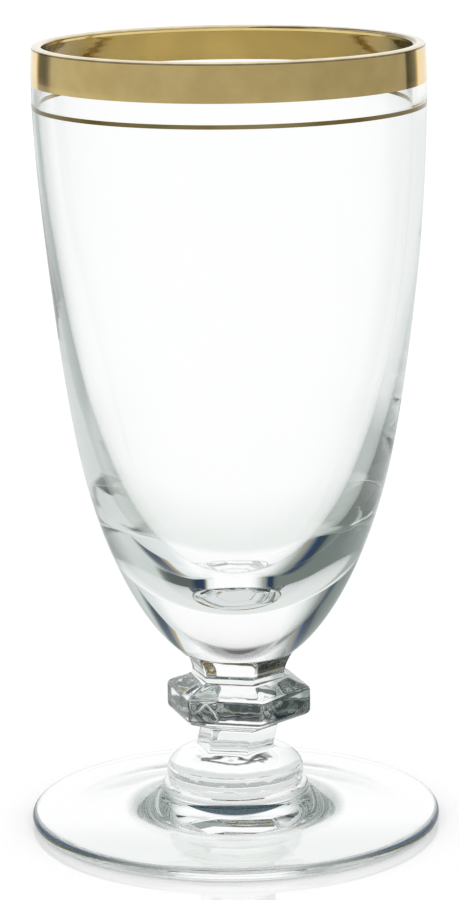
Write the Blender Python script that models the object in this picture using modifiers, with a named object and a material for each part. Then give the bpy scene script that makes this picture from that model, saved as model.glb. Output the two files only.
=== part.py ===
"""Footed juice glass with a gilded rim: a blown bowl, a pressed six-sided stem and a round foot.

Units are metres, +Z is up, and the origin is the middle of the circle that the foot stands on.
"""

import math

import bpy

# Bowl: heights are measured up from its seat on the stem
BOWL_HEIGHT = 0.0959
RIM_RADIUS = 0.0302
LIP_WALL = 0.0015
LIP_ROUNDING = 0.0004
SHOULDER_HEIGHT = 0.0335
SHOULDER_INSET = 0.0053
SHOULDER_WALL = 0.0037
FLOOR_THICKNESS = 0.0101

# Bowl: slopes in degrees from straight down, positive towards the axis
RIM_SLOPE = -4.0
SHOULDER_SLOPE = 10.7
SEAT_SLOPE = 53.0
INSIDE_RIM_SLOPE = -5.2
INSIDE_SHOULDER_SLOPE = 17.7
INSIDE_FLOOR_SLOPE = 90.0

# Bowl: fullness of each curve, as its two handles' shares of the distance that it spans
SIDE_FULLNESS = (0.25, 0.24)
BASE_FULLNESS = (0.50, 0.18)
INSIDE_SIDE_FULLNESS = (0.17, 0.34)
INSIDE_BASE_FULLNESS = (0.60, 0.22)

# Gilding fired onto the bowl
BAND_DEPTH = 0.0059
BAND_INSIDE_DEPTH = 0.0008
CLEAR_STRIP = 0.0031
LINE_WIDTH = 0.00065
GILDING_THICKNESS = 0.00015
GILDING_GAP = 0.0001

# Stem: radii are to the corners of its hexagons, heights are each section's own
NECK_TOP_RADIUS = 0.0093
NECK_RADIUS = 0.0076
NECK_HEIGHT = 0.0040
KNOP_RADIUS = 0.0118
KNOP_UPPER_BEVEL = 0.0016
KNOP_GIRDLE = 0.0042
KNOP_LOWER_BEVEL = 0.0020
WAIST_RADIUS = 0.0063
WAIST_HEIGHT = 0.0034
CUSHION_RADIUS = 0.0109
CUSHION_SIDE = 0.0021
CUSHION_CROWN = 0.0042

# Foot
FOOT_RADIUS = 0.0326
FOOT_EDGE = 0.0020
FOOT_RISE = 0.0003
FLARE_RADIUS = 0.0185
COLLAR_RADIUS = 0.0116
COLLAR_LAND = 0.0008
COLLAR_SLOPE = -25.0
FLARE_SLOPE = -87.0
FLARE_FULLNESS = (0.25, 0.35)
FOOT_HEIGHT = 0.0060
REST_RING = 0.0050
UNDERSIDE_HOLLOW = 0.0009

# Clearance left at each fused joint between two pieces
JOINT_GAP = 0.0003

# Fineness of the turned shapes: steps round the axis, and stretches along each outline
TURN_STEPS = 60
HEXAGON_STEPS = 6
OUTSIDE_STRETCHES = 12
INSIDE_STRETCHES = 9
LIP_STRETCHES = 4
CROWN_STRETCHES = 10
FLARE_STRETCHES = 8
EDGE_STRETCHES = 8
HOLLOW_STRETCHES = 6
MERGE_DISTANCE = 1e-6

# Finish of each piece: colour and roughness
GLASS_INDEX = 1.52
BOWL_FINISH = ((0.95, 0.97, 0.97), 0.02)
STEM_FINISH = ((0.93, 0.95, 0.95), 0.03)
FOOT_FINISH = ((0.94, 0.96, 0.95), 0.03)
BAND_FINISH = ((0.70, 0.50, 0.23), 0.24)
LINE_FINISH = ((0.66, 0.48, 0.22), 0.30)

# Levels up the axis, worked out from the pieces below
STEM_BASE = FOOT_HEIGHT + JOINT_GAP
CUSHION_TOP = CUSHION_SIDE + CUSHION_CROWN
KNOP_BASE = CUSHION_TOP + WAIST_HEIGHT
STEM_HEIGHT = KNOP_BASE + KNOP_LOWER_BEVEL + KNOP_GIRDLE + KNOP_UPPER_BEVEL + NECK_HEIGHT
BOWL_SEAT = STEM_BASE + STEM_HEIGHT + JOINT_GAP

SHOULDER_RADIUS = RIM_RADIUS - SHOULDER_INSET
LIP_LEVEL = BOWL_HEIGHT - LIP_ROUNDING


def clear_scene():
    for obj in list(bpy.data.objects):
        bpy.data.objects.remove(obj)


def new_collection(name):
    collection = bpy.data.collections.new(name)
    bpy.context.scene.collection.children.link(collection)
    return collection


def finish(name, colour, roughness):
    """A material with its colour and roughness, and the shader that holds its other values."""
    material = bpy.data.materials.new(name)
    material.use_nodes = True
    shader = material.node_tree.nodes["Principled BSDF"]
    shader.inputs["Base Color"].default_value = (*colour, 1)
    shader.inputs["Roughness"].default_value = roughness
    return material, shader


def glass(name, colour, roughness):
    material, shader = finish(name, colour, roughness)
    shader.inputs["Metallic"].default_value = 0
    shader.inputs["IOR"].default_value = GLASS_INDEX
    shader.inputs["Transmission Weight"].default_value = 1
    return material


def gold(name, colour, roughness):
    material, shader = finish(name, colour, roughness)
    shader.inputs["Metallic"].default_value = 1
    return material


def heading(slope):
    """Unit step of a profile that runs down at this many degrees towards the axis."""
    angle = math.radians(slope)
    return -math.sin(angle), -math.cos(angle)


def bend(start, start_slope, end, end_slope, fullness, count):
    """Points of the cubic curve that leaves start and meets end at these slopes."""
    span = math.dist(start, end)
    out, back = heading(start_slope), heading(end_slope)
    first = [p + d * fullness[0] * span for p, d in zip(start, out)]
    second = [p - d * fullness[1] * span for p, d in zip(end, back)]
    points = []
    for i in range(count + 1):
        t = i / count
        s = 1 - t
        weights = (s**3, 3 * s * s * t, 3 * s * t * t, t**3)
        corners = (start, first, second, end)
        points.append(tuple(sum(w * c[k] for w, c in zip(weights, corners)) for k in (0, 1)))
    return points


def arc(centre, radius_x, radius_z, start, end, count):
    """Points of an elliptical arc between two angles in degrees."""
    points = []
    for i in range(count + 1):
        angle = math.radians(start + (end - start) * i / count)
        points.append((centre[0] + radius_x * math.cos(angle), centre[1] + radius_z * math.sin(angle)))
    return points


def dome(radius, height, count):
    """Points of a shallow parabola from its edge at level zero to its top on the axis."""
    shares = [1 - i / count for i in range(count + 1)]
    return [(radius * share, height * (1 - share * share)) for share in shares]


def offset(points, distance):
    """The open outline moved sideways, to the left of its direction."""
    moved = []
    for i, (x, z) in enumerate(points):
        before = points[max(i - 1, 0)]
        after = points[min(i + 1, len(points) - 1)]
        run, rise = after[0] - before[0], after[1] - before[1]
        length = math.hypot(run, rise)
        moved.append((x - distance * rise / length, z + distance * run / length))
    return moved


def part_of_outline(points, from_level, to_level):
    """The stretch of a falling outline between two levels, cut exactly at both."""
    def at(level):
        for (x0, z0), (x1, z1) in zip(points, points[1:]):
            if z0 >= level >= z1:
                share = (z0 - level) / (z0 - z1)
                return x0 + (x1 - x0) * share, level
        raise ValueError("the level lies off the outline")

    between = [p for p in points if from_level > p[1] > to_level]
    return [at(from_level), *between, at(to_level)]


def outside_of_bowl():
    """From just under the lip down to the edge of the seat."""
    rim = (RIM_RADIUS, LIP_LEVEL)
    shoulder = (SHOULDER_RADIUS, SHOULDER_HEIGHT)
    seat = (NECK_TOP_RADIUS, 0.0)
    side = bend(rim, RIM_SLOPE, shoulder, SHOULDER_SLOPE, SIDE_FULLNESS, OUTSIDE_STRETCHES)
    base = bend(shoulder, SHOULDER_SLOPE, seat, SEAT_SLOPE, BASE_FULLNESS, OUTSIDE_STRETCHES)
    return side + base[1:]


def inside_of_bowl():
    """From just under the lip down to the middle of the floor."""
    rim = (RIM_RADIUS - LIP_WALL, LIP_LEVEL)
    shoulder = (SHOULDER_RADIUS - SHOULDER_WALL, SHOULDER_HEIGHT)
    floor = (0.0, FLOOR_THICKNESS)
    turn = INSIDE_SHOULDER_SLOPE
    side = bend(rim, INSIDE_RIM_SLOPE, shoulder, turn, INSIDE_SIDE_FULLNESS, INSIDE_STRETCHES)
    base = bend(shoulder, turn, floor, INSIDE_FLOOR_SLOPE, INSIDE_BASE_FULLNESS, INSIDE_STRETCHES)
    return side + base[1:]


def lip():
    """Over the lip and its two rounded edges, from its inside to its outside."""
    inner = (RIM_RADIUS - LIP_WALL + LIP_ROUNDING, LIP_LEVEL)
    outer = (RIM_RADIUS - LIP_ROUNDING, LIP_LEVEL)
    return (
        arc(inner, LIP_ROUNDING, LIP_ROUNDING, 180, 90, LIP_STRETCHES)
        + arc(outer, LIP_ROUNDING, LIP_ROUNDING, 90, 0, LIP_STRETCHES)
    )


def bowl_outline():
    return inside_of_bowl()[::-1] + lip()[1:] + outside_of_bowl()[1:] + [(0.0, 0.0)]


def skin_outline(path):
    """Closed outline of a thin skin that lies outside a stretch of the bowl's surface."""
    near = offset(path, GILDING_GAP)
    far = offset(path, GILDING_GAP + GILDING_THICKNESS)
    return far + near[::-1]


def band_outline():
    inner = part_of_outline(inside_of_bowl(), LIP_LEVEL, LIP_LEVEL - BAND_INSIDE_DEPTH)
    outer = part_of_outline(outside_of_bowl(), LIP_LEVEL, BOWL_HEIGHT - BAND_DEPTH)
    return skin_outline(inner[::-1] + lip()[1:-1] + outer)


def line_outline():
    top = BOWL_HEIGHT - BAND_DEPTH - CLEAR_STRIP
    return skin_outline(part_of_outline(outside_of_bowl(), top, top - LINE_WIDTH))


def hexagon_outline():
    """The stem's six-sided sections, with their foot buried in the cushion."""
    sections = (
        (NECK_TOP_RADIUS, NECK_HEIGHT),
        (NECK_RADIUS, KNOP_UPPER_BEVEL),
        (KNOP_RADIUS, KNOP_GIRDLE),
        (KNOP_RADIUS, KNOP_LOWER_BEVEL),
        (WAIST_RADIUS, WAIST_HEIGHT + CUSHION_CROWN),
        (WAIST_RADIUS, 0.0),
    )
    level = STEM_HEIGHT
    points = [(0.0, level)]
    for radius, height in sections:
        points.append((radius, level))
        level -= height
    return points + [(0.0, points[-1][1])]


def cushion_outline():
    crown = arc((0.0, CUSHION_SIDE), CUSHION_RADIUS, CUSHION_CROWN, 90, 0, CROWN_STRETCHES)
    return crown + [(CUSHION_RADIUS, 0.0), (0.0, 0.0)]


def foot_outline():
    edge = FOOT_EDGE / 2
    rest_outside = FOOT_RADIUS - edge
    rest_inside = rest_outside - REST_RING
    flare_level = FOOT_EDGE + FOOT_RISE
    land = (COLLAR_RADIUS, FOOT_HEIGHT - COLLAR_LAND)
    root = (FLARE_RADIUS, flare_level)
    flare = bend(land, COLLAR_SLOPE, root, FLARE_SLOPE, FLARE_FULLNESS, FLARE_STRETCHES)
    rim = arc((rest_outside, edge), edge, edge, 90, -90, EDGE_STRETCHES)
    hollow = dome(rest_inside, UNDERSIDE_HOLLOW, HOLLOW_STRETCHES)
    return [(0.0, FOOT_HEIGHT), (COLLAR_RADIUS, FOOT_HEIGHT)] + flare + rim + hollow


def lathe(name, outline, steps, closed, smooth):
    """An object whose outline, drawn at +X, is turned round the Z axis."""
    count = len(outline)
    edges = [(i, i + 1) for i in range(count - 1)]
    if closed:
        edges.append((count - 1, 0))
    mesh = bpy.data.meshes.new(name)
    mesh.from_pydata([(x, 0.0, z) for x, z in outline], edges, [])
    obj = bpy.data.objects.new(name, mesh)
    turn = obj.modifiers.new("turn", "SCREW")
    turn.axis = "Z"
    turn.steps = steps
    turn.render_steps = steps
    turn.use_merge_vertices = True
    turn.merge_threshold = MERGE_DISTANCE
    turn.use_smooth_shade = smooth
    return obj


def place(obj, collection, parent, level, material):
    collection.objects.link(obj)
    obj.parent = parent
    obj.location = (0.0, 0.0, level)
    obj.data.materials.append(material)


def stem_with_cushion(helpers, parent, material):
    """The six-sided stem and its round cushion, pressed as one piece."""
    cushion = lathe("stem_cushion", cushion_outline(), TURN_STEPS, False, True)
    place(cushion, helpers, parent, STEM_BASE, material)
    cushion.hide_render = True
    cushion.display_type = "WIRE"
    stem = lathe("stem", hexagon_outline(), HEXAGON_STEPS, False, False)
    union = stem.modifiers.new("cushion", "BOOLEAN")
    union.operation = "UNION"
    union.object = cushion
    return stem


def main():
    clear_scene()
    parts = new_collection("juice_glass")
    helpers = new_collection("helpers")
    origin = bpy.data.objects.new("origin", None)
    helpers.objects.link(origin)

    foot = lathe("foot", foot_outline(), TURN_STEPS, False, True)
    place(foot, parts, origin, 0.0, glass("foot_glass", *FOOT_FINISH))
    stem_glass = glass("stem_glass", *STEM_FINISH)
    stem = stem_with_cushion(helpers, origin, stem_glass)
    place(stem, parts, origin, STEM_BASE, stem_glass)
    bowl = lathe("bowl", bowl_outline(), TURN_STEPS, False, True)
    place(bowl, parts, origin, BOWL_SEAT, glass("bowl_glass", *BOWL_FINISH))
    band = lathe("gold_band", band_outline(), TURN_STEPS, True, True)
    place(band, parts, origin, BOWL_SEAT, gold("band_gold", *BAND_FINISH))
    line = lathe("gold_line", line_outline(), TURN_STEPS, True, True)
    place(line, parts, origin, BOWL_SEAT, gold("line_gold", *LINE_FINISH))


main()
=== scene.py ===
import math

import bpy
import numpy as np
from mathutils import Matrix, Vector


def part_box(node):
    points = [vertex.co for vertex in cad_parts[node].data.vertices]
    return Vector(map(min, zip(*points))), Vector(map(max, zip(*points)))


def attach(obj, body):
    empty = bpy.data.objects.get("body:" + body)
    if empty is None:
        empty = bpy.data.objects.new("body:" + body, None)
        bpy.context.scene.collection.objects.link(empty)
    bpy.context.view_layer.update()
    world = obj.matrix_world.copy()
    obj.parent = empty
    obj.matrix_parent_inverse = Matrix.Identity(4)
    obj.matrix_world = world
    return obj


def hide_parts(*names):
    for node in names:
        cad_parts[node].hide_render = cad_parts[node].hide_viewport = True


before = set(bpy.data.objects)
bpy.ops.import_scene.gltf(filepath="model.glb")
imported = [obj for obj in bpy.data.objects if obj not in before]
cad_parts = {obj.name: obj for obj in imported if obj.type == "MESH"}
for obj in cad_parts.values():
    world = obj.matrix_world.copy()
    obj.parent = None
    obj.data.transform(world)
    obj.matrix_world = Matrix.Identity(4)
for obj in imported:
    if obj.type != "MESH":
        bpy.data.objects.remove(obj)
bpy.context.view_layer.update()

# Bowl, measured up from its seat, as in the solids
BOWL_HEIGHT = 0.0959
RIM_RADIUS = 0.0302
LIP_WALL = 0.0015
LIP_ROUNDING = 0.0004
SHOULDER_HEIGHT = 0.0335
SHOULDER_INSET = 0.0053
SHOULDER_WALL = 0.0037
FLOOR_THICKNESS = 0.0101

# Slopes of the bowl's outlines, in degrees from straight down towards the axis
RIM_SLOPE = -4.0
SHOULDER_SLOPE = 10.7
SEAT_SLOPE = 53.0
INSIDE_RIM_SLOPE = -5.2
INSIDE_SHOULDER_SLOPE = 17.7
INSIDE_FLOOR_SLOPE = 90.0

# Fullness of each curve at its start and end, as a share of its span
SIDE_FULLNESS = (0.25, 0.24)
BASE_FULLNESS = (0.50, 0.18)
INSIDE_SIDE_FULLNESS = (0.17, 0.34)
INSIDE_BASE_FULLNESS = (0.60, 0.22)

# The blown cavity stands a little off the axis, so one wall is thicker than the other
CAVITY_SHIFT_RIM = -0.00050
CAVITY_SHIFT_BASE = -0.00015
CAVITY_SHIFT_LEVEL = 0.0343

# The glass isn't quite true: its body and rim lean to the right of its foot, with turns at these heights
BODY_LEAN = 0.00064
RIM_LEAN = 0.00022
FOOT_TURN = (0.0125, 0.0158)
RIM_TURN = (0.085, 0.122)

# Gilding, a film much thinner than its solid
BAND_DEPTH = 0.0059
BAND_INSIDE_DEPTH = 0.0008
BAND_TILT = 0.065
LIP_HIGHLIGHT_DEPTH = 0.00012
CLEAR_STRIP = 0.0031
LINE_WIDTH = 0.00065
GILDING_GAP = 0.00002
GILDING_THICKNESS = 0.00004

# Stem, a moulded hexagon that ends in a round cushion
STEM_SIDES = 6
NECK_TOP_RADIUS = 0.0093
NECK_RADIUS = 0.0076
NECK_LAND = 0.0008
NECK_SLOPES = (33.0, 8.0)
NECK_FULLNESS = (0.33, 0.33)
KNOP_RADIUS = 0.0118
KNOP_UPPER_BEVEL = 0.0016
KNOP_GIRDLE = 0.0042
KNOP_LOWER_BEVEL = 0.0020
KNOP_ROUNDINGS = (0.0010, 0.0009, 0.0010, 0.0008, 0.0005)
WAIST_RADIUS = 0.0063
WAIST_HEIGHT = 0.0034
WAIST_SINK = 0.0006
FILLET_REACH = 0.0012
FILLET_DROP = 0.0004
CUSHION_RADIUS = 0.0109
CUSHION_SIDE = 0.0021
CUSHION_CROWN = 0.0042
CROWN_SLOPES = (-74.0, -30.0)
CROWN_FULLNESS = (0.35, 0.35)
FACET_POWER = 45.0
FACETS_FROM = 0.80
FACETS_BELOW_TOP = 0.0004

# Radius and level of the cushion's side above the foot: its crown, two grooves, beads and girth
CROWN_EDGE = (0.01060, 0.0032)
UPPER_GROOVE = (0.01052, 0.0030)
UPPER_BEAD = (0.01078, 0.0027)
GIRTH_LEVEL = 0.0018
LOWER_BEAD = (0.01078, 0.0009)
LOWER_GROOVE = (0.01055, 0.0007)
FOOT_BEAD = (0.01078, 0.0005)
SIDE_ROUNDINGS = (0.0001, 0.0002, 0.0012, 0.0002, 0.0001, 0.0002)

# Fused joints, whose hidden faces stay just inside the edges round them
SEAM_INSET = 0.0001
SEAT_EDGE_INSET = 0.00008
FOOT_SEAM_RADIUS = 0.0106
SEAM_MARGIN = 0.00001

# Foot
FOOT_RADIUS = 0.0326
FOOT_EDGE = 0.0020
FOOT_RISE = 0.0003
EDGE_ARC = (88, -90)
FLARE_RADIUS = 0.0185
FLARE_SLOPE = -87.0
FLARE_FULLNESS = (0.25, 0.35)
COLLAR_RADIUS = 0.0116
COLLAR_LAND = 0.0008
COLLAR_SLOPE = -25.0
COLLAR_DROP = 0.0001
COLLAR_ROUNDING = 0.0003
REST_RING = 0.0050
UNDERSIDE_HOLLOW = 0.0009
UNDERSIDE_MIDDLE = 0.0002

# Mesh fineness
ROUND_STEPS = 288
FACET_STEPS = 60
CORNER_CROWDING = 0.6
CURVE_STEPS = 56
STEM_CURVE_STEPS = 24
FLARE_STEPS = 32
DISC_STEPS = 16
ARC_STEPS = 8
BAND_INSIDE_STEPS = 6
BAND_OUTSIDE_STEPS = 30
LINE_STEPS = 8
SAME_POINT = 1e-7
SAME_LEVEL = 1e-5
FLAT_NORMAL = 0.999
SHARP_ANGLE = 32.0

# Places of the finishes on a piece, after its main one
SEAM = 1
UNDER_SIDE = 1
LIP_TOP = 2
OUTER_EDGE = 3
INNER_EDGE = 4

# Camera, from the photograph
VIEW_AZIMUTH = 12.3
VIEW_ASIDE = 0.00022
VIEW_DISTANCE = 0.533
VIEW_HEIGHT = 0.1755
VIEW_PITCH = 12.213
VIEW_YAW = -0.060
VIEW_ROLL = -0.69
LENS = 138.78
SENSOR = 36.0
CLIP_START = 0.01

# Clear glass: tint of its cords, painted shade of its edges seen edge on (partly its own absorption),
# fineness of its cords and strength of its waves
GLASS_INDEX = 1.52
GLASS_SPECULAR = (0.1, 0.1, 0.1)
CORD_DETAIL = 2.0
WAVE_DEPTH = 0.0004
EDGE_FACING = (0.84, 0.98)
DARK_EDGE = (0.52, 0.58, 0.56)
PALE_EDGE = (0.80, 0.84, 0.82)
BLOWN_GLASS = ((0.992, 0.999, 0.997), DARK_EDGE, 60.0, 0.10)
MOULDED_GLASS = ((0.988, 0.997, 0.994), DARK_EDGE, 220.0, 0.30)
PRESSED_GLASS = ((0.986, 0.998, 0.992), PALE_EDGE, 90.0, 0.10)

# Painted shade, mottled, over what is mirrored inside the knop
KNOP_ZONE = (0.0155, 0.0170)
KNOP_DEEP = (0.045, 0.055, 0.062)
KNOP_PALE = (0.36, 0.39, 0.385)
SHADE_MOTTLE_SCALE = 260.0
SHADE_MOTTLE_RANGE = (0.44, 0.58)

# Painted shade on the right faces of the knop and neck, and a painted dark line above the neck. A stretch
# has its ends and its blur
KNOP_FACE = (0.0168, 0.0245, 0.0004)
KNOP_SIDE = (0.0052, 0.0066)
KNOP_SHADE = (0.30, 0.35, 0.34)
NECK_NEAR = (0.0005, -0.0005)
NECK_FACE = (0.0246, 0.0284, 0.0002)
NECK_SIDE = (0.0034, 0.0038)
NECK_SHADE = (0.06, 0.06, 0.045)
NECK_LINE = (0.0273, 0.0278, 0.0002)
NECK_FRONT = (-0.0015, 0.0034, 0.0012)
LINE_SHADE = (0.04, 0.035, 0.05)

# Painted shade on both sides of the flare, and a painted dark arc in front of it
WING_REACH = (0.0114, 0.0176, 0.0006)
WING_LEVEL = (0.0022, 0.0028)
WING_SIDE = (0.0080, 0.0112)
WING_SHADE = (0.36, 0.43, 0.40)
ARC_FRONT = (-0.006, -0.009)
ARC_HALF = 0.0078
ARC_LEVEL = 0.0048
ARC_DEPTH = 0.0007
ARC_LEAST = 0.01
ARC_FADE = (1.2, 0.8)
ARC_SHADE = (0.010, 0.020, 0.028)

# Painted reflection along the near edge of the foot: a line, blue above and olive below, that widens
# towards the sides
EDGE_BLUE = (0.025, 0.050, 0.12)
EDGE_OLIVE = (0.07, 0.075, 0.035)
EDGE_TOP = 0.00180
EDGE_LINE = 0.00035
EDGE_SPREAD = 0.0010
EDGE_SPREAD_POWER = 4.0
EDGE_BEGIN = (-0.2, 0.1)
EDGE_CHANGE = (0.35, 0.65)
EDGE_END = (1.2, 0.9)
EDGE_FAINT = 0.40
EDGE_STRONG = (0.15, 0.75)
EDGE_REACH = 0.0012
EDGE_NEAR = (0.010, 0.002)

# Fired gold: its dark and bright tones and the fineness of its clouds
BAND_GOLD = ((0.82, 0.60, 0.25), (0.90, 0.68, 0.29), 220.0)
# A darker copy of the gold for its side seen through the glass, as painted shade
GOLD_UNDER_GLASS = ((0.30, 0.20, 0.05), (0.52, 0.36, 0.11), 45.0)
# Pale gold on the flat top of the lip is a painted highlight; the darker golds of its outer and inner
# rounded edges are painted shade
LIP_GOLD = ((0.76, 0.66, 0.46), (0.86, 0.77, 0.55), 300.0)
OUTER_EDGE_GOLD = ((0.19, 0.15, 0.08), (0.26, 0.21, 0.12), 300.0)
INNER_EDGE_GOLD = ((0.48, 0.40, 0.24), (0.58, 0.50, 0.31), 300.0)
LINE_GOLD = ((0.12, 0.08, 0.02), (0.32, 0.26, 0.12), 40.0)
CLOUD_DETAIL = 4.0
CLOUD_RANGE = (0.36, 0.64)
GOLD_ROUGHNESS = (0.02, 0.10)

# Floor, with the distances at which its polish changes and at which glass and gold see painted shade and a
# painted pool of light on it
FLOOR_REACH = 4.0
FLOOR_LEVEL = -0.00005
FLOOR_CLOSE = (0.05, 0.12)
FLOOR_FRONT = (-0.020, -0.004)
FLOOR_SHADE = (0.86, 0.89, 0.87)
FLOOR_GLOW = 0.08
POLISH_REACH = (0.45, 0.20)
POLISH_INDEX = 1.7
POLISH_ROUGHNESS = 0.03
UNDER_FOOT = (0.036, 0.046)
UNDER_LEVEL = 0.74
POOL_FROM = (0.11, 0.16)
POOL_TO = (0.9, 1.3)
POOL_LEVEL = 0.88

# Surroundings, with heights on a unit sphere at which they change
HAZE_FROM = (0.06, 0.10)
TENT_FROM = (0.12, 0.18)
CARD_FOOT = (0.18, 0.20)
GUIDED_FROM = (0.235, 0.26)
SKY_FROM = (0.66, 0.76)
SKY_LEVEL = 0.42
TOP_FROM = (0.80, 0.88)
TOP_LEVEL = 0.12

# How many times light is mirrored inside the glass before it shows each of the surroundings
ONCE = 1
TWICE = 2
OFTEN = 4
GUIDED = 6
HALF_COUNT = 0.5

# Bounces that light needs to cross every wall of the glass
ALL_BOUNCES = 64
GLOSSY_BOUNCES = 64
TRANSMISSION_BOUNCES = 32
TRANSPARENT_BOUNCES = 16

# Colours of the surroundings
WHITE = (1.0, 1.0, 1.0)
CARD = (0.022, 0.042, 0.080)
AMBER = (0.62, 0.49, 0.28)
HONEY = (0.48, 0.31, 0.09)
BROWN = (0.34, 0.28, 0.18)
NAVY = (0.12, 0.19, 0.30)
GREY_TONE = (0.97, 1.0, 1.0)
PALE_TONE = (0.94, 0.99, 1.0)
GREEN_CAST = (0.20, 0.0, 0.10)

# Levels and directions shared by the pieces
IMAGE_RIGHT = np.array([math.cos(math.radians(VIEW_AZIMUTH)), math.sin(math.radians(VIEW_AZIMUTH))])
HALF_FACET = math.pi / STEM_SIDES
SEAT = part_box("bowl")[0][2]
JOINT_BOWL = (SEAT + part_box("stem")[1][2]) / 2
JOINT_FOOT = (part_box("stem")[0][2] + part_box("foot")[1][2]) / 2
LIP_LEVEL = BOWL_HEIGHT - LIP_ROUNDING
SHOULDER_RADIUS = RIM_RADIUS - SHOULDER_INSET
CUSHION_TOP = JOINT_FOOT + CUSHION_SIDE + CUSHION_CROWN


def grey(level):
    return tuple(level * tone for tone in GREY_TONE)


def pale(level):
    return tuple(level * tone for tone in PALE_TONE)


def cool(level):
    """A grey with the faint green of thick glass, stronger where it is darker."""
    return tuple(level * (1 - cast * (1 - level)) for cast in GREEN_CAST)


# What gold sees round it, by degrees to the right of straight behind the glass. Two dark cards stand there,
# with amber at their bright edges
TABLE_ROUND = (
    (-180.0, grey(0.50)),
    (-140.0, grey(0.51)),
    (-90.0, grey(0.57)),
    (-58.0, grey(0.57)),
    (-52.0, grey(0.22)),
    (-48.0, grey(0.15)),
    (-39.0, grey(0.17)),
    (-35.5, AMBER),
    (-33.0, WHITE),
    (39.0, WHITE),
    (41.0, AMBER),
    (44.0, grey(0.24)),
    (50.0, grey(0.14)),
    (56.0, grey(0.08)),
    (58.0, grey(0.40)),
    (62.0, grey(0.42)),
    (130.0, grey(0.42)),
    (160.0, grey(0.49)),
    (180.0, grey(0.50)),
)

# What glass shows low down, then what it shows mirrored once, twice and more often inside it. A dark card
# stands at the left, and another hangs at the right for light that is mirrored twice or more
LEFT_OF_ROOM = (
    (-180.0, cool(0.21)),
    (-160.0, cool(0.20)),
    (-64.0, cool(0.20)),
    (-58.0, cool(0.15)),
    (-55.0, CARD),
    (-49.0, CARD),
    (-46.0, NAVY),
    (-43.5, BROWN),
    (-41.0, cool(0.34)),
    (-38.0, cool(0.50)),
    (-34.0, cool(0.68)),
    (-28.0, cool(0.90)),
    (-20.0, WHITE),
    (34.0, WHITE),
)
FRONT_OF_ROOM = (
    (120.0, cool(0.68)),
    (135.0, cool(0.45)),
    (165.0, cool(0.42)),
    (176.0, cool(0.27)),
    (180.0, cool(0.21)),
)
LOW_ROUND = LEFT_OF_ROOM + (
    (42.0, pale(0.82)),
    (60.0, cool(0.72)),
) + FRONT_OF_ROOM
ONCE_ROUND = (
    (-180.0, cool(0.44)),
    (-160.0, cool(0.20)),
    (-62.0, cool(0.18)),
    (-57.0, CARD),
    (-54.0, CARD),
    (-52.0, NAVY),
    (-50.0, cool(0.60)),
    (-40.0, cool(0.78)),
    (-30.0, cool(0.90)),
    (-20.0, WHITE),
    (34.0, WHITE),
    (45.0, pale(0.86)),
    (60.0, cool(0.72)),
    (180.0, cool(0.44)),
)
TWICE_ROUND = LEFT_OF_ROOM + (
    (46.0, pale(0.86)),
    (50.0, pale(0.84)),
    (51.8, HONEY),
    (54.0, BROWN),
    (55.5, NAVY),
    (57.5, CARD),
    (65.0, CARD),
    (69.0, cool(0.35)),
    (72.0, cool(0.66)),
) + FRONT_OF_ROOM
OFTEN_ROUND = LEFT_OF_ROOM + (
    (46.0, pale(0.86)),
    (48.5, AMBER),
    (50.5, NAVY),
    (53.0, CARD),
    (64.0, CARD),
    (72.0, cool(0.12)),
    (96.0, cool(0.12)),
    (101.0, cool(0.22)),
    (105.0, cool(0.64)),
) + FRONT_OF_ROOM

# What light shows that has run round inside the wall of the bowl, low down and higher up
GUIDED_LOW = (
    (-180.0, cool(0.12)),
    (-165.0, cool(0.16)),
    (-152.0, cool(0.45)),
    (-140.0, cool(0.66)),
    (-60.0, cool(0.66)),
    (60.0, cool(0.42)),
    (90.0, cool(0.26)),
    (122.0, cool(0.18)),
    (150.0, cool(0.17)),
    (172.0, cool(0.12)),
    (180.0, cool(0.12)),
)
GUIDED_HIGH = (
    (-180.0, cool(0.76)),
    (-170.0, cool(0.72)),
    (-165.0, cool(0.22)),
    (-146.0, cool(0.16)),
    (-138.0, cool(0.66)),
    (-60.0, cool(0.66)),
    (60.0, cool(0.42)),
    (90.0, cool(0.26)),
    (122.0, cool(0.18)),
    (154.0, cool(0.20)),
    (162.0, cool(0.70)),
    (180.0, cool(0.76)),
)

# The floor close by in painted shade, and the painted pool of light round it, as it is mirrored once and
# more often inside the glass
NEAR_ROUND = (
    (-180.0, cool(0.36)),
    (-100.0, cool(0.36)),
    (-80.0, cool(0.50)),
    (-45.0, cool(0.60)),
    (-34.0, cool(0.50)),
    (-27.0, cool(0.50)),
    (-20.0, cool(0.80)),
    (18.0, cool(0.80)),
    (24.0, cool(0.64)),
    (45.0, cool(0.62)),
    (80.0, cool(0.50)),
    (100.0, cool(0.36)),
    (180.0, cool(0.36)),
)
POOL_ONCE = (
    (-180.0, cool(0.90)),
    (-60.0, cool(0.86)),
    (-46.0, cool(0.40)),
    (-24.0, cool(0.42)),
    (-16.0, cool(0.80)),
    (40.0, cool(0.88)),
    (180.0, cool(0.90)),
)
POOL_ROUND = (
    (-180.0, cool(0.90)),
    (-135.0, cool(0.88)),
    (-125.0, cool(0.25)),
    (-60.0, cool(0.18)),
    (-46.0, cool(0.30)),
    (-24.0, cool(0.42)),
    (-16.0, cool(0.80)),
    (40.0, cool(0.88)),
    (60.0, cool(0.76)),
    (120.0, cool(0.80)),
    (180.0, cool(0.90)),
)


def heading(slope):
    """Unit step of a path that runs down at this many degrees towards the axis."""
    angle = math.radians(slope)
    return np.array([-math.sin(angle), -math.cos(angle)])


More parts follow.
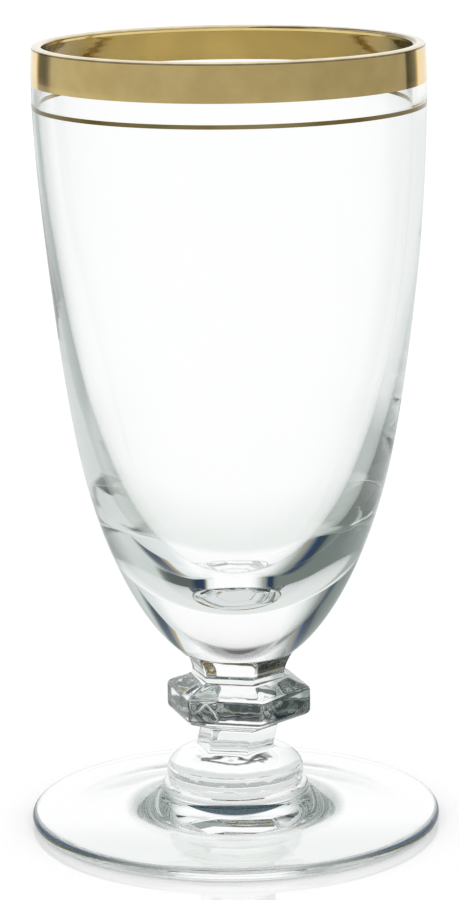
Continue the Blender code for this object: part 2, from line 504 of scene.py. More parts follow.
def bend(start, start_slope, end, end_slope, fullness, count=CURVE_STEPS):
    """Points of a curve that leaves start and reaches end at slopes given from straight down."""
    start = np.array(start)
    end = np.array(end)
    span = np.linalg.norm(end - start)
    first = start + heading(start_slope) * fullness[0] * span
    second = end - heading(end_slope) * fullness[1] * span
    t = np.linspace(0.0, 1.0, count + 1)[:, None]
    return (1 - t) ** 3 * start + 3 * (1 - t) ** 2 * t * first + 3 * (1 - t) * t**2 * second + t**3 * end


def arc(centre, radius, begin, finish, count=ARC_STEPS):
    """Points of an arc, with its angles in degrees from outwards."""
    angles = np.radians(np.linspace(begin, finish, count + 1))
    return np.array(centre) + radius * np.stack([np.cos(angles), np.sin(angles)], axis=1)


def rounded(corners, radii, count=ARC_STEPS):
    """A path through corners, each inner one rounded by its radius."""
    points = [np.array(corners[0])]
    for before, corner, after, radius in zip(corners, corners[1:], corners[2:], radii):
        before, corner, after = np.array(before), np.array(corner), np.array(after)
        back = (before - corner) / np.linalg.norm(before - corner)
        on = (after - corner) / np.linalg.norm(after - corner)
        half = math.acos(np.clip(back @ on, -1, 1)) / 2
        reach = radius / math.tan(half)
        start, end = corner + back * reach, corner + on * reach
        weight = math.sin(half)
        t = np.linspace(0.0, 1.0, count + 1)[:, None]
        bottom = (1 - t) ** 2 + 2 * weight * (1 - t) * t + t**2
        points.extend(((1 - t) ** 2 * start + 2 * weight * (1 - t) * t * corner + t**2 * end) / bottom)
    points.append(np.array(corners[-1]))
    return np.array(points)


def joined(*paths):
    """One path from several, without the points that repeat."""
    points = np.concatenate(paths)
    step = np.linalg.norm(np.diff(points, axis=0), axis=1)
    return points[np.concatenate([[True], step > SAME_POINT])]


def between(path, low, high, count):
    """The stretch of a path between two heights, in even steps."""
    height = np.linspace(high, low, count)
    order = np.argsort(path[:, 1])
    return np.stack([np.interp(height, path[order, 1], path[order, 0]), height], axis=1)


def smooth(share):
    """A smooth step from 0 to 1."""
    share = np.clip(share, 0.0, 1.0)
    return share * share * (3 - 2 * share)


def round_angles():
    return np.linspace(0.0, 2 * math.pi, ROUND_STEPS, endpoint=False)


def facet_angles():
    """Angles round the stem, closer together at its corners."""
    t = np.linspace(-1.0, 1.0, FACET_STEPS, endpoint=False)
    sector = HALF_FACET * (t + CORNER_CROWDING * np.sin(math.pi * t) / math.pi)
    return np.concatenate([sector + HALF_FACET * (1 + 2 * k) for k in range(STEM_SIDES)])


def hexagon(angles):
    """Radius of a hexagon of unit circumradius, with corners on X and softly rounded."""
    faces = HALF_FACET * (1 + 2 * np.arange(STEM_SIDES))
    reach = np.maximum(np.cos(angles[:, None] - faces), 0) / math.cos(HALF_FACET)
    return (reach**FACET_POWER).sum(axis=1) ** (-1 / FACET_POWER)


def turned(path, angles, shape=1.0):
    """Rings of points from a path of radius and height; shape scales each ring's radius by angle."""
    radius = path[:, 0:1] * shape * np.ones_like(angles)
    height = np.broadcast_to(path[:, 1:2], radius.shape)
    return np.stack([radius * np.cos(angles), radius * np.sin(angles), height], axis=2)


def halved(ring):
    """A ring at half its size, which carries a flat face in towards the axis."""
    return ring * np.array([0.5, 0.5, 1.0])


def lean(height):
    """How far the glass stands to the right of its foot in the photograph at each height."""
    low, high = FOOT_TURN
    body = BODY_LEAN * smooth((height - low) / (high - low))
    low, high = RIM_TURN
    return RIM_LEAN + (body - RIM_LEAN) * smooth((high - height) / (high - low))


def skin(name, rings, finishes, looped=False):
    """A closed mesh over rings; a looped one joins its last ring to its first, others end in points."""
    count, around = rings.shape[:2]
    vertices = rings.reshape(-1, 3)
    here = np.arange(around)
    there = np.roll(here, -1)
    spans = [(i, i + 1) for i in range(count - 1)]
    if looped:
        spans.append((count - 1, 0))
    quads = [
        np.stack([a * around + here, b * around + here, b * around + there, a * around + there], 1)
        for a, b in spans
    ]
    faces = np.concatenate(quads).tolist()
    if not looped:
        vertices = np.concatenate([vertices, [rings[0].mean(axis=0), rings[-1].mean(axis=0)]])
        first, last = count * around, count * around + 1
        end = (count - 1) * around
        faces += [(first, i, j) for i, j in zip(here.tolist(), there.tolist())]
        faces += [(last, end + j, end + i) for i, j in zip(here.tolist(), there.tolist())]
    vertices[:, :2] += lean(vertices[:, 2:]) * IMAGE_RIGHT
    mesh = bpy.data.meshes.new(name)
    mesh.from_pydata(vertices.tolist(), [], faces)
    mesh.validate()
    mesh.shade_smooth()
    mesh.set_sharp_from_angle(angle=math.radians(SHARP_ANGLE))
    for finish in finishes:
        mesh.materials.append(finish)
    piece = bpy.data.objects.new(name, mesh)
    bpy.context.scene.collection.objects.link(piece)
    return piece


def mark_seam(piece, level, reach):
    """Gives the hidden face of a fused joint its own finish."""
    middle = lean(level) * IMAGE_RIGHT
    for polygon in piece.data.polygons:
        flat = abs(polygon.normal.z) > FLAT_NORMAL and abs(polygon.center.z - level) < SAME_LEVEL
        corners = [piece.data.vertices[v].co for v in polygon.vertices]
        inside = max(math.hypot(c.x - middle[0], c.y - middle[1]) for c in corners) < reach
        if flat and inside:
            polygon.material_index = SEAM


def outside_path():
    shoulder = (SHOULDER_RADIUS, SHOULDER_HEIGHT)
    side = bend((RIM_RADIUS, LIP_LEVEL), RIM_SLOPE, shoulder, SHOULDER_SLOPE, SIDE_FULLNESS)
    base = bend(shoulder, SHOULDER_SLOPE, (NECK_TOP_RADIUS, 0.0), SEAT_SLOPE, BASE_FULLNESS)
    return joined(side, base)


def inside_path():
    rim = (RIM_RADIUS - LIP_WALL, LIP_LEVEL)
    shoulder = (SHOULDER_RADIUS - SHOULDER_WALL, SHOULDER_HEIGHT)
    floor = (0.0, FLOOR_THICKNESS)
    turn = INSIDE_SHOULDER_SLOPE
    side = bend(rim, INSIDE_RIM_SLOPE, shoulder, turn, INSIDE_SIDE_FULLNESS)
    base = bend(shoulder, turn, floor, INSIDE_FLOOR_SLOPE, INSIDE_BASE_FULLNESS)
    return joined(side, base[:-1])


def lip_path():
    """Over the flat lip and its two rounded edges, from the inside to the outside."""
    inner = arc((RIM_RADIUS - LIP_WALL + LIP_ROUNDING, LIP_LEVEL), LIP_ROUNDING, 180, 90)
    outer = arc((RIM_RADIUS - LIP_ROUNDING, LIP_LEVEL), LIP_ROUNDING, 90, 0)
    return joined(inner, outer)


def bowl_path():
    """From the middle of the floor up the inside wall, over the lip and down the outside to the seat."""
    return joined(inside_path()[::-1], lip_path(), outside_path()) + np.array([0.0, SEAT])


def cavity_shift(height):
    """How far the cavity stands off the axis at a height above the seat."""
    drop = (BOWL_HEIGHT - height) / (BOWL_HEIGHT - CAVITY_SHIFT_LEVEL)
    return CAVITY_SHIFT_RIM + (CAVITY_SHIFT_BASE - CAVITY_SHIFT_RIM) * smooth(drop)


def shift_cavity(rings):
    """Moves the inside of the bowl off the axis, fading out over the lip's inner edge."""
    inner = len(inside_path()) + ARC_STEPS
    share = np.zeros(len(rings))
    share[:inner] = np.clip((inner - np.arange(inner)) / ARC_STEPS, 0, 1)
    shift = share * cavity_shift(rings[:, 0, 2] - SEAT)
    rings[:, :, :2] += shift[:, None, None] * IMAGE_RIGHT


def neck_seam(edge):
    """The hexagon where the stem is fused to the bowl, inside the round edge of the seat."""
    angles = np.arctan2(edge[:, 1], edge[:, 0])
    radius = (NECK_TOP_RADIUS - SEAM_INSET) * hexagon(angles)
    height = np.full_like(radius, JOINT_BOWL)
    outline = np.stack([radius * np.cos(angles), radius * np.sin(angles), height], axis=1)
    return np.stack([outline, halved(outline)])


def make_bowl(glass, seam):
    seat_edge = np.array([[NECK_TOP_RADIUS - SEAT_EDGE_INSET, JOINT_BOWL]])
    rings = turned(joined(bowl_path(), seat_edge), round_angles())
    shift_cavity(rings)
    piece = skin("glass_bowl", np.concatenate([rings, neck_seam(rings[-1])]), [glass, seam])
    mark_seam(piece, JOINT_BOWL, NECK_TOP_RADIUS * hexagon(np.array([0.0]))[0])
    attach(piece, "root")
    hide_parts("bowl")


def neck_and_knop_path():
    """Radius and height down the six-sided part of the stem, from the bowl to the cushion's crown."""
    waist_low = CUSHION_TOP - WAIST_SINK
    girdle_low = CUSHION_TOP + WAIST_HEIGHT + KNOP_LOWER_BEVEL
    girdle_top = girdle_low + KNOP_GIRDLE
    neck_low = girdle_top + KNOP_UPPER_BEVEL
    neck_top = (NECK_TOP_RADIUS - SEAM_INSET, JOINT_BOWL)
    land_top = (NECK_RADIUS, neck_low + NECK_LAND)
    top_slope, low_slope = NECK_SLOPES
    neck = bend(neck_top, top_slope, land_top, low_slope, NECK_FULLNESS, STEM_CURVE_STEPS)
    knop = rounded(
        [
            land_top,
            (NECK_RADIUS, neck_low),
            (KNOP_RADIUS, girdle_top),
            (KNOP_RADIUS, girdle_low),
            (WAIST_RADIUS, girdle_low - KNOP_LOWER_BEVEL),
            (WAIST_RADIUS, waist_low),
            (WAIST_RADIUS + FILLET_REACH, waist_low - FILLET_DROP),
        ],
        KNOP_ROUNDINGS,
    )
    return joined(neck, knop)


def cushion_path(start):
    """Radius and height down the cushion from under the waist, over its crown, grooves and beads."""
    stops = [
        CROWN_EDGE,
        UPPER_GROOVE,
        UPPER_BEAD,
        (CUSHION_RADIUS, GIRTH_LEVEL),
        LOWER_BEAD,
        LOWER_GROOVE,
        FOOT_BEAD,
        (FOOT_SEAM_RADIUS, 0.0),
    ]
    corners = [(radius, JOINT_FOOT + level) for radius, level in stops]
    top_slope, edge_slope = CROWN_SLOPES
    crown = bend(start, top_slope, corners[0], edge_slope, CROWN_FULLNESS, STEM_CURVE_STEPS)
    return joined(crown, rounded(corners, SIDE_ROUNDINGS))


def make_stem(glass, seam):
    upper = neck_and_knop_path()
    path = joined(upper, cushion_path(upper[-1]))
    angles = facet_angles()
    facets_low = JOINT_FOOT + CUSHION_SIDE + CUSHION_CROWN * FACETS_FROM
    facets_top = CUSHION_TOP - FACETS_BELOW_TOP
    share = smooth((path[:, 1:2] - facets_low) / (facets_top - facets_low))
    rings = turned(path, angles, 1 + (hexagon(angles) - 1) * share)
    whole = np.concatenate([halved(rings[:1]), rings, halved(rings[-1:])])
    piece = skin("moulded_stem", whole, [glass, seam])
    mark_seam(piece, JOINT_BOWL, NECK_TOP_RADIUS)
    mark_seam(piece, JOINT_FOOT, COLLAR_RADIUS)
    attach(piece, "root")
    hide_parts("stem")


def foot_path():
    """Radius and height from the joint with the stem, over the foot and under it."""
    bull = FOOT_EDGE / 2
    land_low = (COLLAR_RADIUS, JOINT_FOOT - COLLAR_LAND)
    land = rounded(
        [
            (FOOT_SEAM_RADIUS, JOINT_FOOT),
            (COLLAR_RADIUS, JOINT_FOOT - COLLAR_DROP),
            land_low,
        ],
        (COLLAR_ROUNDING,),
    )
    root = (FLARE_RADIUS, FOOT_EDGE + FOOT_RISE)
    flare = bend(land_low, COLLAR_SLOPE, root, FLARE_SLOPE, FLARE_FULLNESS, FLARE_STEPS)
    edge = arc((FOOT_RADIUS - bull, bull), bull, *EDGE_ARC, 3 * ARC_STEPS)
    disc = np.linspace(flare[-1], edge[0], DISC_STEPS)
    hollow_radius = FOOT_RADIUS - bull - REST_RING
    radius = np.linspace(hollow_radius, UNDERSIDE_MIDDLE, CURVE_STEPS)
    hollow = np.stack([radius, UNDERSIDE_HOLLOW * (1 - (radius / hollow_radius) ** 2)], axis=1)
    return joined(land, flare, disc, edge, hollow)


def make_foot(glass, seam):
    rings = turned(foot_path(), round_angles())
    piece = skin("pressed_foot", np.concatenate([halved(rings[:1]), rings]), [glass, seam])
    mark_seam(piece, JOINT_FOOT, FOOT_SEAM_RADIUS + SEAM_MARGIN)
    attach(piece, "root")
    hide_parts("foot")


def film(path):
    """The closed outline of a film that lies just off a path, on its left side."""
    along = np.gradient(path, axis=0)
    along /= np.linalg.norm(along, axis=1)[:, None]
    normal = np.stack([-along[:, 1], along[:, 0]], axis=1)
    far = path + normal * (GILDING_GAP + GILDING_THICKNESS)
    near = path + normal * GILDING_GAP
    return np.concatenate([far, near[::-1]])


def gilded(name, path, finishes):
    """A gilded film over a path, higher at the far side, with its own finish where it lies on the glass."""
    angles = round_angles()
    rings = turned(film(path), angles)
    depth = np.clip(SEAT + LIP_LEVEL - rings[:, :, 2], 0.0, BAND_DEPTH)
    behind = (1 - np.sin(angles - math.radians(VIEW_AZIMUTH) + math.pi)) / 2
    rings[:, :, 2] += BAND_TILT * depth * behind
    piece = skin(name, rings, finishes, looped=True)
    for polygon in piece.data.polygons[len(path) * ROUND_STEPS:]:
        polygon.material_index = UNDER_SIDE
    return piece


def make_band(finishes):
    inside = between(inside_path(), BOWL_HEIGHT - BAND_INSIDE_DEPTH, LIP_LEVEL, BAND_INSIDE_STEPS)[::-1]
    outside = between(outside_path(), BOWL_HEIGHT - BAND_DEPTH, LIP_LEVEL, BAND_OUTSIDE_STEPS)
    path = joined(inside, lip_path(), outside) + np.array([0.0, SEAT])
    piece = gilded("gilded_band", path, finishes)
    # The lip's top takes the painted highlight, and its rounded edges the painted shade
    for polygon in piece.data.polygons[:len(path) * ROUND_STEPS]:
        outer = math.hypot(polygon.center.x, polygon.center.y) > RIM_RADIUS - LIP_WALL / 2
        if polygon.center.z > SEAT + BOWL_HEIGHT - LIP_HIGHLIGHT_DEPTH:
            polygon.material_index = LIP_TOP
        elif polygon.center.z > SEAT + LIP_LEVEL:
            polygon.material_index = OUTER_EDGE if outer else INNER_EDGE
    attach(piece, "root")
    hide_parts("gold_band")


def make_line(finishes):
    top = BOWL_HEIGHT - BAND_DEPTH - CLEAR_STRIP
    path = between(outside_path(), top - LINE_WIDTH, top, LINE_STEPS) + np.array([0.0, SEAT])
    piece = gilded("gilded_line", path, finishes)
    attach(piece, "root")
    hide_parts("gold_line")


def new_material(name):
    material = bpy.data.materials.new(name)
    material.use_nodes = True
    return material, material.node_tree


def math_node(tree, operation, *values):
    node = tree.nodes.new("ShaderNodeMath")
    node.operation = operation
    for socket, value in zip(node.inputs, values):
        if isinstance(value, (int, float)):
            socket.default_value = value
        else:
            tree.links.new(value, socket)
    return node.outputs[0]


def product(tree, first, *rest):
    """Several shares times each other."""
    for share in rest:
        first = math_node(tree, "MULTIPLY", first, share)
    return first


def step_node(tree, value, low, high):
    """A smooth step of value from 0 at low to 1 at high."""
    node = tree.nodes.new("ShaderNodeMapRange")
    node.interpolation_type = "SMOOTHSTEP"
    tree.links.new(value, node.inputs["Value"])
    node.inputs["From Min"].default_value = low
    node.inputs["From Max"].default_value = high
    return node.outputs["Result"]


def stretch(tree, value, low, high, blur):
    """1 where value lies between low and high, with soft ends."""
    begun = step_node(tree, value, low - blur, low + blur)
    ended = step_node(tree, value, high + blur, high - blur)
    return product(tree, begun, ended)


def mix_node(tree, share, first, second):
    """The first colour where share is 0 and the second where it is 1."""
    node = tree.nodes.new("ShaderNodeMix")
    node.data_type = "RGBA"
    tree.links.new(share, node.inputs["Factor"])
    for socket, value in zip((node.inputs[6], node.inputs[7]), (first, second)):
        if isinstance(value, tuple):
            socket.default_value = (*value, 1.0)
        else:
            tree.links.new(value, socket)
    return node.outputs[2]


def mix_shaders(tree, share, first, second):
    node = tree.nodes.new("ShaderNodeMixShader")
    tree.links.new(share, node.inputs["Fac"])
    tree.links.new(first, node.inputs[1])
    tree.links.new(second, node.inputs[2])
    return node.outputs["Shader"]


def view_axes(tree, coordinate):
    """A coordinate's axes, turned so that Y points straight behind the glass in the photograph."""
    place = tree.nodes.new("ShaderNodeTexCoord")
    turn = tree.nodes.new("ShaderNodeVectorRotate")
    turn.rotation_type = "Z_AXIS"
    turn.inputs["Angle"].default_value = -math.radians(VIEW_AZIMUTH)
    tree.links.new(place.outputs[coordinate], turn.inputs["Vector"])
    split = tree.nodes.new("ShaderNodeSeparateXYZ")
    tree.links.new(turn.outputs["Vector"], split.inputs["Vector"])
    return split.outputs


def distance_node(tree, axes):
    """How far a place lies from the axis."""
    across = math_node(tree, "POWER", axes["X"], 2.0)
    along = math_node(tree, "POWER", axes["Y"], 2.0)
    return math_node(tree, "SQRT", math_node(tree, "ADD", across, along))


def noise_node(tree, scale):
    """A noise fixed in the piece."""
    place = tree.nodes.new("ShaderNodeTexCoord")
    noise = tree.nodes.new("ShaderNodeTexNoise")
    noise.inputs["Scale"].default_value = scale
    tree.links.new(place.outputs["Object"], noise.inputs["Vector"])
    return noise


def ramp_node(tree, value, stops):
    """The colour at a value, from stops of position and colour."""
    ramp = tree.nodes.new("ShaderNodeValToRGB")
    elements = ramp.color_ramp.elements
    while len(elements) < len(stops):
        elements.new(0.5)
    for element, (position, colour) in zip(elements, stops):
        element.position = position
        element.color = (*colour, 1.0)
    tree.links.new(value, ramp.inputs["Fac"])
    return ramp.outputs["Color"]


def round_ramp(tree, axes, stops):
    """The colour in the bearing of the axes, from stops in degrees."""
    bearing = math_node(tree, "ARCTAN2", axes["X"], axes["Y"])
    share = math_node(tree, "MULTIPLY_ADD", bearing, 1 / (2 * math.pi), 0.5)
    return ramp_node(tree, share, [(degrees / 360 + 0.5, colour) for degrees, colour in stops])


def mirrored_over(tree, path, times):
    """1 on rays that were mirrored at least so many times, 0 on the rest."""
    return math_node(tree, "GREATER_THAN", path.outputs["Glossy Depth"], times - HALF_COUNT)


def sharp_ray(tree, path):
    """1 on rays that a mirror or clear glass sent on, 0 on those from the camera or a matt surface."""
    sent = math_node(tree, "MAXIMUM", path.outputs["Is Glossy Ray"], path.outputs["Is Transmission Ray"])
    clean = math_node(tree, "LESS_THAN", path.outputs["Diffuse Depth"], HALF_COUNT)
    return product(tree, sent, clean)


def glass_material(name, cord_tint, edge_shade, scale, waves):
    """Clear glass with faint cords and a slight waviness of its surface."""
    material, tree = new_material(name)
    shader = tree.nodes["Principled BSDF"]
    shader.inputs["Transmission Weight"].default_value = 1.0
    shader.inputs["IOR"].default_value = GLASS_INDEX
    shader.inputs["Roughness"].default_value = 0.0
    shader.inputs["Specular Tint"].default_value = (*GLASS_SPECULAR, 1.0)
    cords = noise_node(tree, scale)
    cords.inputs["Detail"].default_value = CORD_DETAIL
    body = ramp_node(tree, cords.outputs["Fac"], [(0.0, cord_tint), (1.0, WHITE)])
    # Painted shade: the glass turns to its edge colour where its surface is seen edge on, partly standing
    # for its own absorption
    facing = tree.nodes.new("ShaderNodeLayerWeight").outputs["Facing"]
    tinted = mix_node(tree, step_node(tree, facing, *EDGE_FACING), body, edge_shade)
    tree.links.new(tinted, shader.inputs["Base Color"])
    wave = tree.nodes.new("ShaderNodeBump")
    wave.inputs["Strength"].default_value = waves
    wave.inputs["Distance"].default_value = WAVE_DEPTH
    tree.links.new(cords.outputs["Fac"], wave.inputs["Height"])
    tree.links.new(wave.outputs["Normal"], shader.inputs["Normal"])
    return material


def paint(tree, share, colour):
    """Lays a colour over the glass's own where share is 1."""
    socket = tree.nodes["Principled BSDF"].inputs["Base Color"]
    body = socket.links[0].from_socket
    tree.links.new(mix_node(tree, share, body, colour), socket)


def dim_inside(material):
    """Paints a mottled shade over what is mirrored inside the knop, for light that has crossed the glass
    several times.
    """
    tree = material.node_tree
    path = tree.nodes.new("ShaderNodeLightPath")
    knop = step_node(tree, view_axes(tree, "Object")["Z"], *KNOP_ZONE)
    mirrored = mirrored_over(tree, path, ONCE)
    own = math_node(tree, "LESS_THAN", path.outputs["Transparent Depth"], HALF_COUNT)
    mottle = noise_node(tree, SHADE_MOTTLE_SCALE)
    tone = mix_node(tree, step_node(tree, mottle.outputs["Fac"], *SHADE_MOTTLE_RANGE), KNOP_DEEP, KNOP_PALE)
    paint(tree, product(tree, knop, mirrored, own), tone)
    return material


def shade_neck(material):
    """Paints shade on the right faces of the neck and knop, and a dark line where the neck spreads to the
    bowl.
    """
    tree = material.node_tree
    axes = view_axes(tree, "Object")
    near = step_node(tree, axes["Y"], *NECK_NEAR)
    knop = product(tree, stretch(tree, axes["Z"], *KNOP_FACE), step_node(tree, axes["X"], *KNOP_SIDE))
    paint(tree, knop, KNOP_SHADE)
    line = product(tree, stretch(tree, axes["Z"], *NECK_LINE), stretch(tree, axes["X"], *NECK_FRONT), near)
    paint(tree, line, LINE_SHADE)
    face = product(tree, stretch(tree, axes["Z"], *NECK_FACE), step_node(tree, axes["X"], *NECK_SIDE), near)
    paint(tree, face, NECK_SHADE)
    return material


def shade_flare(material):
    """Paints shade on the flare at both sides and a dark arc in front, standing for the dark that bent
    glass gathers.
    """
    tree = material.node_tree
    axes = view_axes(tree, "Object")
    across = math_node(tree, "ABSOLUTE", axes["X"])
    flare = stretch(tree, distance_node(tree, axes), *WING_REACH)
    top = step_node(tree, axes["Z"], *WING_LEVEL)
    paint(tree, product(tree, flare, top, step_node(tree, across, *WING_SIDE)), WING_SHADE)
    bow = math_node(tree, "POWER", math_node(tree, "MULTIPLY", axes["X"], 1 / ARC_HALF), 2.0)
    bow = math_node(tree, "MAXIMUM", math_node(tree, "SUBTRACT", 1.0, bow), ARC_LEAST)
    off = math_node(tree, "ABSOLUTE", math_node(tree, "SUBTRACT", axes["Z"], ARC_LEVEL))
    part = math_node(tree, "DIVIDE", off, math_node(tree, "MULTIPLY", bow, ARC_DEPTH))
    front = step_node(tree, axes["Y"], *ARC_FRONT)
    paint(tree, product(tree, front, step_node(tree, part, *ARC_FADE)), ARC_SHADE)
    return material


def paint_edge_reflection(material):
    """Paints a reflection on the near edge of the foot, blue above and olive below, where thick glass is
    seen edge on.
    """
    tree = material.node_tree
    axes = view_axes(tree, "Object")
    share = math_node(tree, "MULTIPLY", axes["X"], 1 / FOOT_RADIUS)
    spread = math_node(tree, "POWER", share, EDGE_SPREAD_POWER)
    width = math_node(tree, "MULTIPLY_ADD", spread, EDGE_SPREAD, EDGE_LINE)
    part = math_node(tree, "DIVIDE", math_node(tree, "SUBTRACT", EDGE_TOP, axes["Z"]), width)
    tinted = mix_node(tree, step_node(tree, part, *EDGE_CHANGE), EDGE_BLUE, EDGE_OLIVE)
    begun = step_node(tree, part, *EDGE_BEGIN)
    ended = step_node(tree, part, *EDGE_END)
    near = step_node(tree, axes["Y"], *EDGE_NEAR)
    rim = step_node(tree, distance_node(tree, axes), FOOT_RADIUS - EDGE_REACH, FOOT_RADIUS - EDGE_REACH / 2)
    aside = step_node(tree, math_node(tree, "ABSOLUTE", share), *EDGE_STRONG)
    strength = math_node(tree, "MULTIPLY_ADD", aside, 1 - EDGE_FAINT, EDGE_FAINT)
    paint(tree, product(tree, begun, ended, near, rim, strength), tinted)
    return material


def seam_material():
    """The fused face between two gathers of glass, which can't be seen."""
    material, tree = new_material("fused_joint")
    tree.nodes.remove(tree.nodes["Principled BSDF"])
    clear = tree.nodes.new("ShaderNodeBsdfTransparent")
    tree.links.new(clear.outputs["BSDF"], tree.nodes["Material Output"].inputs["Surface"])
    return material


def gold_material(name, dark, bright, scale):
    """Fired gold, with a cloud in its tone and polish."""
    material, tree = new_material(name)
    shader = tree.nodes["Principled BSDF"]
    shader.inputs["Metallic"].default_value = 1.0
    cloud = noise_node(tree, scale)
    cloud.inputs["Detail"].default_value = CLOUD_DETAIL
    tone = ramp_node(tree, cloud.outputs["Fac"], list(zip(CLOUD_RANGE, (dark, bright))))
    tree.links.new(tone, shader.inputs["Base Color"])
    gloss = tree.nodes.new("ShaderNodeMapRange")
    gloss.inputs["To Min"].default_value, gloss.inputs["To Max"].default_value = GOLD_ROUGHNESS
    tree.links.new(cloud.outputs["Fac"], gloss.inputs["Value"])
    tree.links.new(gloss.outputs["Result"], shader.inputs["Roughness"])
    return material


def make_camera():
    pitch = math.radians(VIEW_PITCH)
    yaw = math.radians(VIEW_YAW)
    roll = math.radians(VIEW_ROLL)
    forward = Vector((math.sin(yaw) * math.cos(pitch), math.cos(yaw) * math.cos(pitch), -math.sin(pitch)))
    level = Vector((math.cos(yaw), -math.sin(yaw), 0.0))
    above = level.cross(forward)
    right = math.cos(roll) * level + math.sin(roll) * above
    up = math.cos(roll) * above - math.sin(roll) * level
    axes = Matrix((right, up, -forward)).transposed().to_4x4()
    place = Matrix.Translation((VIEW_ASIDE, -VIEW_DISTANCE, VIEW_HEIGHT))
    turn = Matrix.Rotation(math.radians(VIEW_AZIMUTH), 4, "Z")
    data = bpy.data.cameras.new("camera")
    data.lens = LENS
    data.sensor_width = SENSOR
    data.clip_start = CLIP_START
    camera = bpy.data.objects.new("camera", data)
    camera.matrix_world = turn @ place @ axes
    bpy.context.scene.collection.objects.link(camera)
    bpy.context.scene.camera = camera


def polished_white(tree, distance):
    """A matt white that is faintly polished near the glass, and glows a little to the camera."""
    matt = tree.nodes.new("ShaderNodeBsdfDiffuse")
    matt.inputs["Color"].default_value = (*WHITE, 1.0)
    gloss = tree.nodes.new("ShaderNodeBsdfGlossy")
    gloss.inputs["Color"].default_value = (*WHITE, 1.0)
    gloss.inputs["Roughness"].default_value = POLISH_ROUGHNESS
    fresnel = tree.nodes.new("ShaderNodeFresnel")
    fresnel.inputs["IOR"].default_value = POLISH_INDEX
    sheen = product(tree, fresnel.outputs["Fac"], step_node(tree, distance, *POLISH_REACH))
    path = tree.nodes.new("ShaderNodeLightPath")
    glow = tree.nodes.new("ShaderNodeEmission")
    tree.links.new(product(tree, path.outputs["Is Camera Ray"], FLOOR_GLOW), glow.inputs["Strength"])
    both = tree.nodes.new("ShaderNodeAddShader")
    tree.links.new(mix_shaders(tree, sheen, matt.outputs["BSDF"], gloss.outputs["BSDF"]), both.inputs[0])
    tree.links.new(glow.outputs["Emission"], both.inputs[1])
    return both.outputs["Shader"]


def floor_in_glass(tree, axes, distance, path):
    """The floor's painted shade straight through the glass, and its painted shade and painted pool of light
    where glass or gold mirrors it.
    """
    beyond = step_node(tree, distance, *UNDER_FOOT)
    close = mix_node(tree, step_node(tree, axes["Y"], *FLOOR_FRONT), FLOOR_SHADE, WHITE)
    ring = mix_node(tree, step_node(tree, distance, *FLOOR_CLOSE), FLOOR_SHADE, WHITE)
    straight = mix_node(tree, beyond, close, ring)
    under = mix_node(tree, beyond, grey(UNDER_LEVEL), round_ramp(tree, axes, NEAR_ROUND))
    twice = mirrored_over(tree, path, TWICE)
    lit = mix_node(tree, twice, round_ramp(tree, axes, POOL_ONCE), round_ramp(tree, axes, POOL_ROUND))
    lit = mix_node(tree, path.outputs["Is Transmission Ray"], grey(POOL_LEVEL), lit)
    pool = mix_node(tree, step_node(tree, distance, *POOL_FROM), under, lit)
    far = step_node(tree, distance, *POOL_TO)
    mirrored = mix_node(tree, far, pool, round_ramp(tree, axes, TABLE_ROUND))
    return mix_node(tree, mirrored_over(tree, path, ONCE), straight, mirrored)


def floor_material():
    """White with its real shadow to the camera; glass and gold see it glow, with painted shade close by, a
    painted pool of light round it, and the foot of what stands round it far off.
    """
    material, tree = new_material("white_floor")
    material.cycles.emission_sampling = "NONE"
    tree.nodes.remove(tree.nodes["Principled BSDF"])
    axes = view_axes(tree, "Object")
    distance = distance_node(tree, axes)
    path = tree.nodes.new("ShaderNodeLightPath")
    seen = tree.nodes.new("ShaderNodeEmission")
    tree.links.new(floor_in_glass(tree, axes, distance, path), seen.inputs["Color"])
    plain = polished_white(tree, distance)
    surface = mix_shaders(tree, sharp_ray(tree, path), plain, seen.outputs["Emission"])
    tree.links.new(surface, tree.nodes["Material Output"].inputs["Surface"])
    return material


def make_floor():
    mesh = bpy.data.meshes.new("floor")
    corners = [(-1, -1), (1, -1), (1, 1), (-1, 1)]
    vertices = [(x * FLOOR_REACH, y * FLOOR_REACH, FLOOR_LEVEL) for x, y in corners]
    mesh.from_pydata(vertices, [], [(0, 1, 2, 3)])
    mesh.materials.append(floor_material())
    floor = bpy.data.objects.new("floor", mesh)
    bpy.context.scene.collection.objects.link(floor)


def room_in_glass(tree, axes, path):
    """What glass shows of the room, by how often the light was mirrored inside it."""
    height = axes["Z"]
    low = round_ramp(tree, axes, LOW_ROUND)
    above = step_node(tree, height, *CARD_FOOT)
    twice = mix_node(tree, above, low, round_ramp(tree, axes, TWICE_ROUND))
    often = mix_node(tree, above, low, round_ramp(tree, axes, OFTEN_ROUND))
    room = mix_node(tree, step_node(tree, height, *HAZE_FROM), WHITE, low)
    room = mix_node(tree, mirrored_over(tree, path, ONCE), room, round_ramp(tree, axes, ONCE_ROUND))
    room = mix_node(tree, mirrored_over(tree, path, TWICE), room, twice)
    room = mix_node(tree, mirrored_over(tree, path, OFTEN), room, often)
    room = mix_node(tree, step_node(tree, height, *SKY_FROM), room, grey(SKY_LEVEL))
    room = mix_node(tree, step_node(tree, height, *TOP_FROM), room, grey(TOP_LEVEL))
    high = step_node(tree, height, *GUIDED_FROM)
    guided = mix_node(tree, high, round_ramp(tree, axes, GUIDED_LOW), round_ramp(tree, axes, GUIDED_HIGH))
    return mix_node(tree, mirrored_over(tree, path, GUIDED), room, guided)


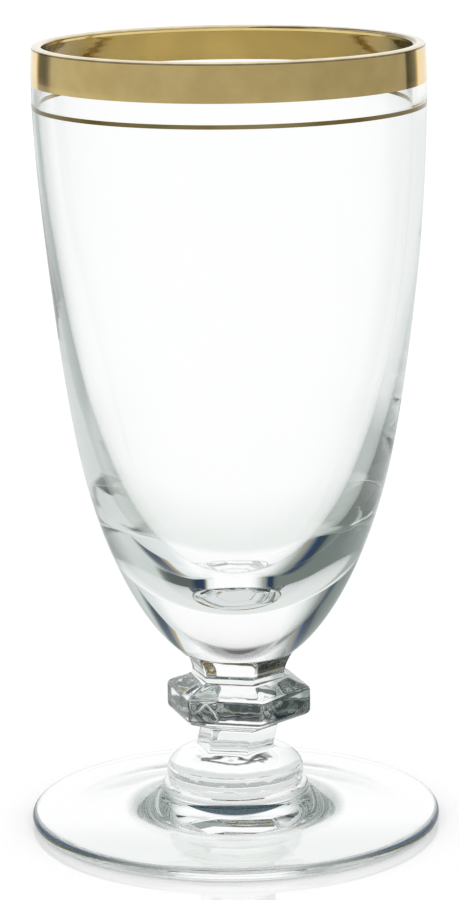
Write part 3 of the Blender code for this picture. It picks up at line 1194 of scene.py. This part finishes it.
def make_world():
    """Even white light; glass and gold see the dim room and the cards that stand round it."""
    world = bpy.data.worlds.new("studio")
    world.use_nodes = True
    world.cycles.sampling_method = "NONE"
    tree = world.node_tree
    tree.nodes.clear()
    axes = view_axes(tree, "Generated")
    path = tree.nodes.new("ShaderNodeLightPath")
    tent = step_node(tree, axes["Z"], *TENT_FROM)
    table = mix_node(tree, tent, round_ramp(tree, axes, TABLE_ROUND), WHITE)
    room = room_in_glass(tree, axes, path)
    seen = mix_node(tree, path.outputs["Is Transmission Ray"], table, room)
    back = tree.nodes.new("ShaderNodeBackground")
    tree.links.new(mix_node(tree, sharp_ray(tree, path), WHITE, seen), back.inputs["Color"])
    out = tree.nodes.new("ShaderNodeOutputWorld")
    tree.links.new(back.outputs["Background"], out.inputs["Surface"])
    bpy.context.scene.world = world


def set_light_paths():
    cycles = bpy.context.scene.cycles
    cycles.max_bounces = ALL_BOUNCES
    cycles.glossy_bounces = GLOSSY_BOUNCES
    cycles.transmission_bounces = TRANSMISSION_BOUNCES
    cycles.transparent_max_bounces = TRANSPARENT_BOUNCES


def make_glass():
    seam = seam_material()
    blown = glass_material("blown_glass", *BLOWN_GLASS)
    moulded = glass_material("moulded_glass", *MOULDED_GLASS)
    pressed = glass_material("pressed_glass", *PRESSED_GLASS)
    make_bowl(blown, seam)
    make_stem(dim_inside(shade_neck(moulded)), seam)
    make_foot(paint_edge_reflection(shade_flare(pressed)), seam)


def make_gilding():
    band = gold_material("fired_gold_band", *BAND_GOLD)
    under = gold_material("gold_under_glass", *GOLD_UNDER_GLASS)
    lip = gold_material("gold_lip_painted_highlight", *LIP_GOLD)
    outer_edge = gold_material("gold_outer_edge", *OUTER_EDGE_GOLD)
    inner_edge = gold_material("gold_inner_edge", *INNER_EDGE_GOLD)
    line = gold_material("fired_gold_line", *LINE_GOLD)
    make_band([band, under, lip, outer_edge, inner_edge])
    make_line([line, under])


def main():
    bpy.context.scene.view_settings.view_transform = "Standard"
    make_glass()
    make_gilding()
    make_camera()
    make_floor()
    make_world()
    set_light_paths()


main()
